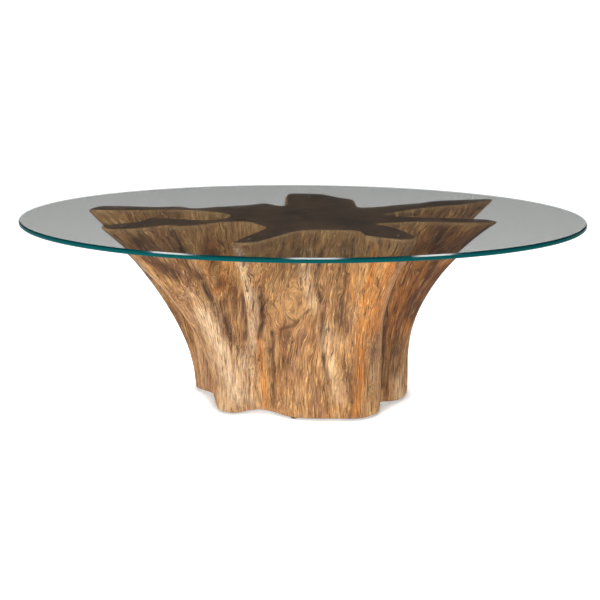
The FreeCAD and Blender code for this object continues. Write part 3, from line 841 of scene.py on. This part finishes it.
# %% Build the grain groups
def group(name, inputs, outputs):
    """A shader node group with its input and output nodes; inputs are (name, kind, value)."""
    tree = bpy.data.node_groups.new(name, "ShaderNodeTree")
    for label, kind, value in inputs:
        socket = tree.interface.new_socket(label, in_out="INPUT", socket_type=f"NodeSocket{kind}")
        if value is not None:
            socket.default_value = value
    for label, kind in outputs:
        tree.interface.new_socket(label, in_out="OUTPUT", socket_type=f"NodeSocket{kind}")
    return tree, tree.nodes.new("NodeGroupInput").outputs, tree.nodes.new("NodeGroupOutput")


fibre_tree, given, result = group(
    "stretched_noise",
    [("Vector", "Vector", None), ("Across", "Float", 100.0), ("Along", "Float", 5.0),
     ("Detail", "Float", 3.0), ("Shift", "Float", 0.0)],
    [("Value", "Float")],
)
scale = node(fibre_tree, "CombineXYZ", {0: given["Across"], 1: given["Across"], 2: given["Along"]})
scaled = node(fibre_tree, "VectorMath", {0: given["Vector"], 1: scale.outputs[0]}, operation="MULTIPLY")
moved = node(fibre_tree, "VectorMath", {0: scaled.outputs[0], 1: given["Shift"]}, operation="ADD")
inputs = {"Vector": moved.outputs[0], "Scale": 1.0, "Detail": given["Detail"], "Roughness": 0.6}
noise = node(fibre_tree, "TexNoise", inputs)
fibre_tree.links.new(noise.outputs[0], result.inputs["Value"])

streak_tree, given, result = group(
    "streaks",
    [("Vector", "Vector", None), ("Across", "Float", 100.0), ("Along", "Float", 5.0),
     ("Shift", "Float", 0.0), ("From", "Float", 0.6), ("To", "Float", 0.7)],
    [("Mask", "Float")],
)
passed_on = {name: given[name] for name in ("Vector", "Across", "Along", "Shift")}
inner = node(streak_tree, "Group", passed_on, node_tree=fibre_tree)
cut = ranged(streak_tree, inner.outputs[0], given["From"], given["To"])
streak_tree.links.new(cut, result.inputs["Mask"])


def fibres(tree, vector, across, along, shift, detail=3.0):
    """Stretched noise from 0 to 1: across and along are its sizes, in features per metre, and the shift
    moves it to a place of its own."""
    inputs = {"Vector": vector, "Across": across, "Along": along, "Detail": detail, "Shift": shift}
    return node(tree, "Group", inputs, node_tree=fibre_tree).outputs[0]


def streaks(tree, vector, across, along, shift, start, end):
    """A mask of long streaks: stretched noise cut off between start and end."""
    inputs = {"Vector": vector, "Across": across, "Along": along, "Shift": shift, "From": start, "To": end}
    return node(tree, "Group", inputs, node_tree=streak_tree).outputs[0]


print("groups:", fibre_tree.name, "and", streak_tree.name)

# %% [markdown]
# ## Barkless wood
#
# The flank is sanded and satin lacquered. Its colour starts as a broad drift from brown to gold, the
# drawn bands shift it, and streaks, flecks and fibres go on top. The bump comes from the same
# fibres, so the light catches exactly the lines that the eye sees.

# %% Lead the grain
def field(tree, name, output="Vector"):
    """What a mesh stores on its points under a name."""
    return node(tree, "Attribute", attribute_name=name, attribute_type="GEOMETRY").outputs[output]


barkless, tree = material("barkless_wood")
straight = field(tree, "grain")
# the middle channel carries the stain-and-shade bands: stains, and painted shade
pale_band, stain_and_shade_band, amber_band = node(tree, "SeparateXYZ", {0: field(tree, "tones")}).outputs
crack, knot, sanded_lip_and_lit_foot = node(tree, "SeparateXYZ", {0: field(tree, "marks")}).outputs

# The grain sways a little in spots, and less in amber and pale bands.
sway = node(tree, "TexNoise", {"Vector": straight, "Scale": 15.0, "Detail": 2.0}).outputs["Color"]
sway = node(tree, "VectorMath", {0: sway, 1: (0.5, 0.5, 0.5)}, operation="SUBTRACT").outputs[0]
figure = ranged(tree, fibres(tree, straight, 9.0, 5.0, 61.0, 1.0), 0.48, 0.66, 0.008, 0.046)
figure = sums(tree, "MULTIPLY", figure, ranged(tree, amber_band, 0.0, 0.8, 1.0, 0.2))
figure = sums(tree, "MULTIPLY", figure, ranged(tree, pale_band, 0.1, 0.8, 1.0, 0.35))
sway = node(tree, "VectorMath", {0: sway, "Scale": figure}, operation="SCALE").outputs[0]
flow = node(tree, "VectorMath", {0: straight, 1: sway}, operation="ADD").outputs[0]

# The sizes across and along the grain, the shift and the detail.
drift = fibres(tree, flow, 10.0, 3.0, 3.1, 3.0)
medium = fibres(tree, flow, 60.0, 9.0, 7.7, 5.0)
fine = fibres(tree, flow, 300.0, 20.0, 1.3, 4.0)
mottle = fibres(tree, flow, 34.0, 22.0, 71.0, 3.0)
print("grain:", len(tree.nodes), "nodes")

# %% Mix the colours of the barkless wood
def layer(tree, mask, under, over, strength=1.0):
    """Lays a screen colour over another where a mask is 1, fully or with a strength below 1."""
    amount = mask if strength == 1.0 else sums(tree, "MULTIPLY", mask, strength)
    return blend(tree, amount, under, screen(*over))


mixed = sums(tree, "ADD", sums(tree, "MULTIPLY", drift, 0.45), sums(tree, "MULTIPLY", medium, 0.35))
mixed = sums(tree, "ADD", mixed, sums(tree, "MULTIPLY", mottle, 0.20))
ramp = node(tree, "ValToRGB", {0: mixed})
ramp.color_ramp.elements[0].position = 0.36
ramp.color_ramp.elements[0].color = screen(112, 76, 50)
ramp.color_ramp.elements[1].position = 0.66
ramp.color_ramp.elements[1].color = screen(222, 180, 124)
for position, colour in ((0.45, (158, 108, 66)), (0.54, (190, 140, 88))):
    ramp.color_ramp.elements.new(position).color = screen(*colour)
colour = ramp.outputs[0]

pale = sums(tree, "MULTIPLY", pale_band, ranged(tree, medium, 0.30, 0.55, 0.35, 1.0))
pale = sums(tree, "MULTIPLY", pale, ranged(tree, mottle, 0.34, 0.56, 0.55, 1.0))
colour = layer(tree, pale, colour, (236, 202, 164))
amber = sums(tree, "MULTIPLY", amber_band, ranged(tree, medium, 0.35, 0.6, 0.45, 0.95))
colour = layer(tree, amber, colour, (200, 120, 44))
mauve = streaks(tree, flow, 42.0, 6.0, 21.0, 0.54, 0.64)
colour = layer(tree, mauve, colour, (150, 110, 86), 0.45)
# dark brown over the stain-and-shade bands: partly stains, partly painted shade between and beside the
# arms
stain_and_shade = sums(tree, "MULTIPLY", stain_and_shade_band, ranged(tree, medium, 0.64, 0.44, 0.55, 1.0))
colour = layer(tree, stain_and_shade, colour, (78, 46, 28))
line = streaks(tree, flow, 180.0, 12.0, 33.0, 0.57, 0.65)
colour = layer(tree, line, colour, (78, 50, 33), 0.78)
# pale gold flecks along the fibres: partly the wood's own flecks, partly painted glints on the lacquer
fleck_and_glint = streaks(tree, flow, 200.0, 15.0, 45.0, 0.57, 0.66)
fleck_and_glint = sums(tree, "MULTIPLY", fleck_and_glint, ranged(tree, stain_and_shade_band, 0.2, 0.9, 0.62, 0.25))
colour = layer(tree, fleck_and_glint, colour, (236, 190, 118))
pit = streaks(tree, flow, 190.0, 55.0, 57.0, 0.65, 0.71)
colour = layer(tree, pit, colour, (46, 34, 28), 0.9)
colour = layer(tree, knot, colour, (216, 176, 116), 0.25)
shade = ranged(tree, fine, 0.30, 0.70, 0.60, 1.42)
shade = node(tree, "CombineColor", {0: shade, 1: shade, 2: shade}).outputs[0]
colour = blend(tree, 1.0, colour, shade, "MULTIPLY")
# paler on the sanded crown lip, and at the foot partly sanding and partly painted bounce light from the
# floor
colour = layer(tree, sanded_lip_and_lit_foot, colour, (200, 158, 112), 0.40)
gap = sums(tree, "MULTIPLY", crack, ranged(tree, mottle, 0.62, 0.42, 0.2, 0.95))
colour = layer(tree, gap, colour, (44, 33, 27))
print("colours:", len(tree.nodes), "nodes")

# %% Finish the barkless wood
def bumped(tree, height, strength, distance):
    """A normal that is tilted by a height from 0 to 1, which stands for a distance in metres."""
    return node(tree, "Bump", {"Height": height, "Strength": strength, "Distance": distance}).outputs[0]


height = sums(tree, "ADD", sums(tree, "MULTIPLY", fine, 0.6), sums(tree, "MULTIPLY", medium, 0.6))
height = sums(tree, "SUBTRACT", height, sums(tree, "MULTIPLY", line, 0.4))
height = sums(tree, "SUBTRACT", height, sums(tree, "MULTIPLY", pit, 0.7))
rough = ranged(tree, medium, 0.3, 0.7, 0.62, 0.46)
shader = {"Base Color": colour, "Roughness": rough, "Specular IOR Level": 0.35,
          "Normal": bumped(tree, height, 0.8, 0.003)}
show(tree, node(tree, "BsdfPrincipled", shader))
print("barkless wood:", len(tree.nodes), "nodes")

# %% [markdown]
# ## Sawn wood
#
# The crown is end grain, dark brown nearly as dark as walnut. Growth lines follow the outline inwards, and
# fine checks run out along the arms where the wood has dried.

# %% Mix the sawn wood
sawn, tree = material("sawn_wood")
place = node(tree, "TexCoord").outputs["Object"]
inwards = field(tree, "depth", "Fac")
x, y, _ = node(tree, "SeparateXYZ", {0: place}).outputs
rings = node(tree, "CombineXYZ", {0: inwards, 1: 0.0, 2: sums(tree, "ADD", x, y)}).outputs[0]
ring = fibres(tree, rings, 170.0, 3.0, 5.0, 3.0)
cloud = fibres(tree, place, 9.0, 9.0, 2.0, 3.0)
colour = blend(tree, ranged(tree, cloud, 0.3, 0.7), screen(84, 60, 46), screen(124, 92, 68))
colour = layer(tree, ranged(tree, ring, 0.35, 0.7, 0.0, 0.5), colour, (66, 46, 36))
check = streaks(tree, rings, 260.0, 6.0, 9.0, 0.66, 0.72)
colour = layer(tree, check, colour, (40, 29, 24), 0.7)
height = sums(tree, "SUBTRACT", sums(tree, "MULTIPLY", ring, 0.5), check)
shader = {"Base Color": colour, "Roughness": 0.6, "Specular IOR Level": 0.3,
          "Normal": bumped(tree, height, 0.5, 0.001)}
show(tree, node(tree, "BsdfPrincipled", shader))
print("sawn wood:", len(tree.nodes), "nodes")

# %% Build the root
root = build("carved_root", points, [wall_faces, crown_faces, foot_faces] + pocket_faces + roof_faces,
             [barkless, sawn, sawn] + [sawn] * (len(pocket_faces) + len(roof_faces)))
keep(root, "grain", whole(grain))
keep(root, "tones", whole(tones))
keep(root, "marks", marks_all)
keep(root, "depth", depth)
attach(root, "root")
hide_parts("root_base")
print(f"root: {sum(len(p.vertices) - 2 for p in root.data.polygons)} triangles")

# %% [markdown]
# ## The glass
#
# The top is float glass 19 mm thick, ground to an oval and polished round its edge. Seen through the
# faces it is only a little grey, but the edge looks deep teal, because light reaches the eye there
# through a metre or more of glass. A volume that absorbs light would give that too, with much noise, so
# the polished rim has a teal finish of its own. The outline moves in along the normal of the oval, so
# the rim stays even.

# %% Grind the oval plate
low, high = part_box("glass_top")
HALF_LONG, HALF_DEEP = (high[0] - low[0]) / 2, (high[1] - low[1]) / 2
BOTTOM, TOP = low[2], high[2]
AROUND = 288


def oval(inset, height):
    """A ring of points (a cos t, b sin t) on the oval, moved in by an inset in metres along its normal,
    which points to (cos t / a, sin t / b)."""
    turn = 2 * np.pi * np.arange(AROUND) / AROUND
    outline = np.stack([HALF_LONG * np.cos(turn), HALF_DEEP * np.sin(turn)], axis=1)
    out = np.stack([np.cos(turn) / HALF_LONG, np.sin(turn) / HALF_DEEP], axis=1)
    out /= np.linalg.norm(out, axis=1, keepdims=True)
    return np.concatenate([outline - inset * out, np.full((AROUND, 1), height)], axis=1)


BEVEL = 0.0045
FACE = 0.12  # inset of the last ring of each flat face
profile = [(FACE, BOTTOM), (BEVEL, BOTTOM), (0.0, BOTTOM + BEVEL)]
profile += [(0.0, TOP - BEVEL), (BEVEL, TOP), (FACE, TOP)]
plate_points = np.concatenate([oval(inset, height) for inset, height in profile])
faces = grid_faces(len(profile), AROUND)
flat = np.zeros(len(profile) - 1, dtype=bool)
flat[[0, -1]] = True
is_face = np.repeat(flat, AROUND)
ring = np.arange(AROUND)
caps = np.stack([ring[::-1], len(plate_points) - AROUND + ring])
print(f"plate {2 * HALF_LONG:.3f} x {2 * HALF_DEEP:.3f} m, {len(plate_points)} points")

# %% Mix the clear glass
pane, tree = material("float_glass")
seen = node(tree, "BsdfPrincipled", {"Base Color": screen(195, 197, 195), "Roughness": 0.0, "IOR": 1.5,
                                     "Transmission Weight": 1.0})
lets_light = node(tree, "BsdfTransparent", {"Color": screen(236, 242, 239)})
path = node(tree, "LightPath")
shadow = path.outputs["Is Shadow Ray"]
show(tree, node(tree, "MixShader", {0: shadow, 1: seen.outputs[0], 2: lets_light.outputs[0]}))
print("clear glass:", len(tree.nodes), "nodes")

# %% Mix the polished rim and build the plate
rim_paint, tree = material("polished_rim")
height = node(tree, "SeparateXYZ", {0: node(tree, "TexCoord").outputs["Object"]}).outputs[2]
# the teal darkens up the band: painted shade towards the top of the edge
up_the_band = ranged(tree, height, BOTTOM + 0.001, TOP - BEVEL)
colour = blend(tree, up_the_band, screen(0, 90, 90), screen(0, 70, 72))
bevel_start = (TOP - BEVEL - 0.0002, TOP - BEVEL + 0.0002)  # only the upper bevel mirrors the lamps
# the upper bevel is darker still: painted shade
colour = layer(tree, ranged(tree, height, *bevel_start), colour, (0, 50, 52))
gloss = ranged(tree, height, *bevel_start, 0.03, 0.5)
teal = node(tree, "BsdfPrincipled", {"Base Color": colour, "Roughness": 0.10, "IOR": 1.5,
                                     "Specular IOR Level": gloss})
inside = node(tree, "BsdfTransparent", {"Color": screen(226, 232, 230)})
back = node(tree, "NewGeometry").outputs["Backfacing"]  # seen from within the glass, the rim is clear
show(tree, node(tree, "MixShader", {0: back, 1: teal.outputs[0], 2: inside.outputs[0]}))

plate = build("oval_plate", plate_points, [faces[is_face], caps, faces[~is_face]], [pane, pane, rim_paint])
plate.data.set_sharp_from_angle(angle=math.radians(30))
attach(plate, "glass")
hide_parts("glass_top")
print("plate:", len(plate.data.polygons), "faces")

# %% [markdown]
# ## Bumpers and glides
#
# Small turned pieces are the same idea again: a profile of radius and height carried round an axis. The
# radius may change with the turn and the height, which gives the steel stems their thread.

# %% Turn the small pieces
def turned(profile, centre, sides, change=None):
    """The points and faces of a piece turned from a profile of (radius, height) that starts and ends on
    the axis; change(turn, height) is added to the radius away from the axis."""
    profile = np.array(profile, dtype=float)
    turn = 2 * np.pi * np.arange(sides) / sides
    body = profile[1:-1]
    radius = np.repeat(body[:, :1], sides, axis=1)
    if change is not None:
        radius = radius + change(turn[None, :], body[:, 1:])
    height = np.repeat(body[:, 1:], sides, axis=1)
    x, y = centre[0] + radius * np.cos(turn), centre[1] + radius * np.sin(turn)
    grid = np.stack([x, y, height], axis=-1)
    ends = np.array([[*centre, profile[0, 1]], [*centre, profile[-1, 1]]])
    count = len(body) * sides
    ring = np.arange(sides)
    low_fan = np.stack([np.roll(ring, -1), ring, np.full(sides, count)], axis=1)
    last = count - sides + ring
    high_fan = np.stack([last, np.roll(last, -1), np.full(sides, count + 1)], axis=1)
    points = np.concatenate([grid.reshape(-1, 3), ends])
    return points, [grid_faces(len(body), sides), np.concatenate([low_fan, high_fan])]


def arc(centre, radius, start, end, steps=5):
    """Corner points (radius, height) on an arc between two angles in degrees."""
    angle = np.radians(np.linspace(start, end, steps))
    return [(centre[0] + radius * math.cos(a), centre[1] + radius * math.sin(a)) for a in angle]


def span(name):
    """Lowest and highest level, and the radius, of a packed round piece."""
    low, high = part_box(name)
    return low[2], high[2], (high[0] - low[0]) / 2


# %% Mix the finishes of the small pieces
def speckle(tree, scale, detail):
    """Plain noise over the object, from 0 to 1, with so many features per metre."""
    place = node(tree, "TexCoord").outputs["Object"]
    return node(tree, "TexNoise", {"Vector": place, "Scale": scale, "Detail": detail}).outputs[0]


clear, tree = material("clear_bumper")
haze = speckle(tree, 900.0, 2.0)
shader = {"Base Color": screen(226, 228, 226), "Roughness": ranged(tree, haze, 0.3, 0.7, 0.15, 0.3),
          "IOR": 1.45, "Transmission Weight": 0.9, "Normal": bumped(tree, haze, 0.1, 0.0005)}
show(tree, node(tree, "BsdfPrincipled", shader))

nylon, tree = material("black_nylon")
mould = speckle(tree, 1400.0, 3.0)
scuff = speckle(tree, 120.0, 4.0)
colour = blend(tree, ranged(tree, scuff, 0.5, 0.7), screen(24, 24, 25), screen(52, 51, 50))
shader = {"Base Color": colour, "Roughness": ranged(tree, scuff, 0.4, 0.7, 0.5, 0.7),
          "Normal": bumped(tree, mould, 0.3, 0.0004)}
show(tree, node(tree, "BsdfPrincipled", shader))

zinc, tree = material("plated_steel")
cloud = speckle(tree, 160.0, 4.0)
colour = blend(tree, ranged(tree, cloud, 0.3, 0.7), screen(176, 180, 184), screen(206, 206, 202))
shader = {"Base Color": colour, "Roughness": ranged(tree, cloud, 0.3, 0.7, 0.24, 0.4), "Metallic": 1.0,
          "Normal": bumped(tree, cloud, 0.15, 0.0004)}
show(tree, node(tree, "BsdfPrincipled", shader))
print("finishes: clear_bumper, black_nylon, plated_steel")

# %% Turn the bumpers
BUMPERS = sorted(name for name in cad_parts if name.startswith("bumper_"))
ROUND = 0.0009  # radius of a bumper's upper edge
BREAK = 0.0003  # bevel that takes the sharpness off an edge

for name in BUMPERS:
    base, top, wide = span(name)
    profile = [(0, base), (wide - BREAK, base), (wide, base + BREAK)]
    profile += arc((wide - ROUND, top - ROUND), ROUND, 0, 90) + [(0, top)]
    made = build(f"clear_{name}", *turned(profile, middle_of(name), sides=48), [clear, clear])
    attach(made, "root")
    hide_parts(name)
print("bumpers:", len(BUMPERS))

# %% Turn the glides
PITCH = 0.00125
THREAD_DEPTH = 0.0006
SOLE_ROUND, SHOULDER_ROUND = 0.0012, 0.0014  # radii of a pad's lower and upper edge
SOLE_INSET = 0.0022  # from a pad's side to the edge of its flat sole
NECK, SEAT = 0.00405, 0.00605  # radii of the pad's hollow, round the stem and round its flange
SEAT_LOW, SEAT_HIGH = 0.002, 0.0043
FLANGE = 0.002  # thickness
SHANK, TIP = 0.004, 0.0032  # radii of the stem and of its end
THREAD_LOW = 0.0052
THREAD_ROWS = 230
TIP_HEIGHT = 0.0006


def thread(low, high):
    """A change of radius for a screw thread between two levels: -depth * |2 p - 1|, where the phase p is
    the part after the point of height / pitch - turn / 2 pi."""

    def change(turn, height):
        phase = (height / PITCH - turn / (2 * np.pi)) % 1.0
        return np.where((height > low) & (height < high), -THREAD_DEPTH * np.abs(2 * phase - 1), 0.0)

    return change


for spot, centre in GLIDES.items():
    base, top, wide = span(f"pad_{spot}")
    sole = arc((wide - SOLE_ROUND, base + SOLE_ROUND), SOLE_ROUND, -60, 0, steps=4)
    shoulder = arc((wide - SHOULDER_ROUND, top - SHOULDER_ROUND), SHOULDER_ROUND, 0, 90)
    hollow = [(NECK, top), (NECK, SEAT_HIGH), (SEAT, SEAT_HIGH), (SEAT, SEAT_LOW), (0, SEAT_LOW)]
    profile = [(0, base), (wide - SOLE_INSET, base)] + sole + shoulder + hollow
    made = build(f"nylon_pad_{spot}", *turned(profile, centre, sides=120), [nylon, nylon])
    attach(made, f"pad_{spot}")
    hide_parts(f"pad_{spot}")

    base, top, wide = span(f"stem_{spot}")
    profile = [(0, base), (wide - BREAK, base), (wide, base + BREAK), (wide, base + FLANGE - BREAK)]
    profile += [(wide - BREAK, base + FLANGE), (SHANK, base + FLANGE)]
    profile += [(SHANK, height) for height in np.linspace(THREAD_LOW, top - TIP_HEIGHT, THREAD_ROWS)]
    profile += [(TIP, top), (0, top)]
    parts = turned(profile, centre, sides=24, change=thread(THREAD_LOW, top - TIP_HEIGHT - 0.0001))
    made = build(f"threaded_stem_{spot}", *parts, [zinc, zinc])
    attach(made, f"stem_{spot}")
    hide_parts(f"stem_{spot}")
print("glides:", len(GLIDES))

# %% [markdown]
# ## The insert nuts
#
# Each stem screws into a steel insert, a plain sleeve let into the wood until it is flush with the
# foot. Only its end shows from below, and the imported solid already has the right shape, so it stays and
# takes the steel finish.

# %% Finish the insert nuts
for spot in GLIDES:
    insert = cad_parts[f"insert_{spot}"]
    for slot in insert.material_slots:
        slot.material = zinc
print("inserts take the plated steel")
